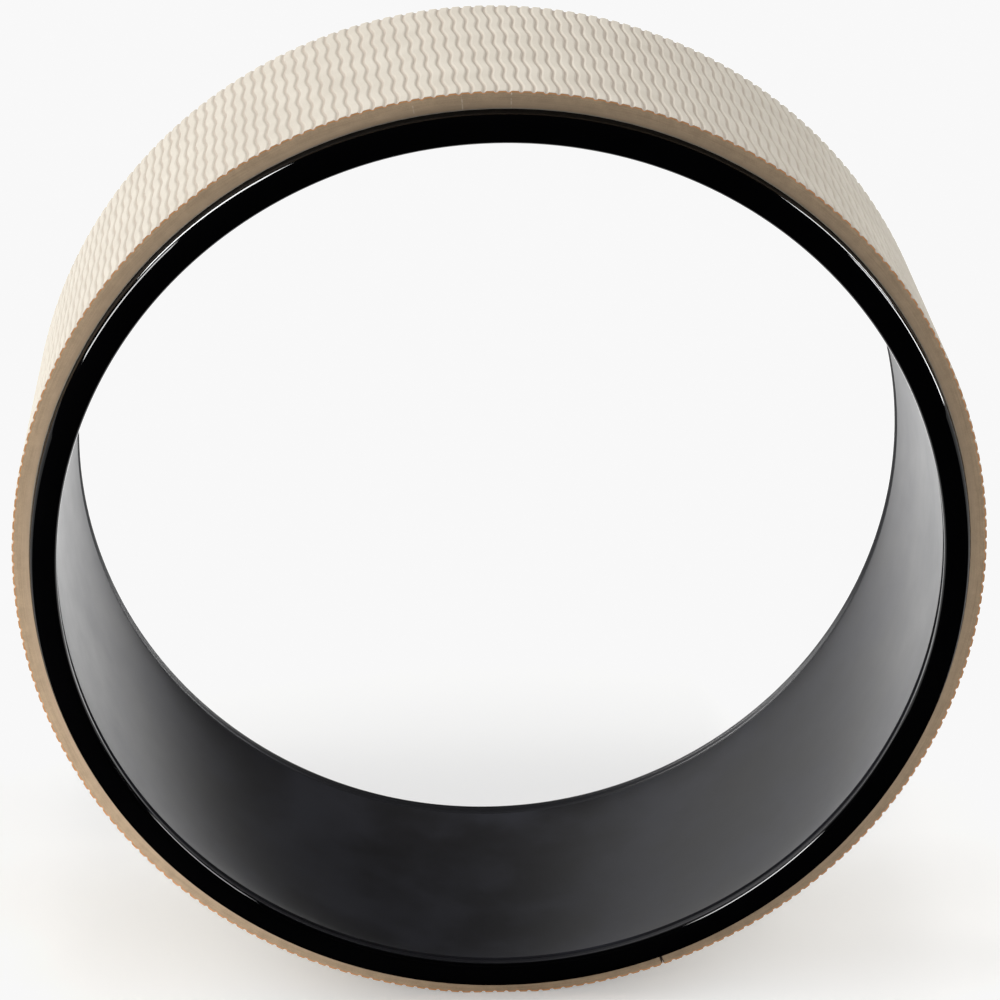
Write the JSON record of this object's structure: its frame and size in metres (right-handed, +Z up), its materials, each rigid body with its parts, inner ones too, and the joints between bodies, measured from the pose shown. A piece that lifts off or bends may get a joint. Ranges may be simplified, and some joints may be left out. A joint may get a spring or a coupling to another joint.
{
  "type": "yoga wheel",
  "caption": "Rigid ring for back bends and balance work, with glossy rims, an open bore and a wrapped foam cushion under a finely ridged tread.",
  "frame": {"origin": "centre of the wheel: on the bore's axis, half way between the two rims", "axes": "+Y along the bore's axis, from the front rim to the rear rim; +Z up, with the wheel standing upright on its tread; +X to the right seen from the front"},
  "size_m": [0.33, 0.13, 0.3295],
  "materials": {
    "core_satin_black": "satin moulded plastic with a soft sheen",
    "rim_gloss_black": "high-gloss polished plastic",
    "bond_clear_amber": "thin pressure-sensitive adhesive",
    "cushion_tan": "matt closed-cell elastomer foam with a fine cut face",
    "tread_cream": "matt embossed elastomer skin with a copper-brown cut edge"
  },
  "bodies": {
    "root": {"core_tube": "core_satin_black", "front_rim": "rim_gloss_black", "rear_rim": "rim_gloss_black", "bonding_film": "bond_clear_amber", "cushion_pad": "cushion_tan", "tread_skin": "tread_cream"}
  },
  "joints": []
}
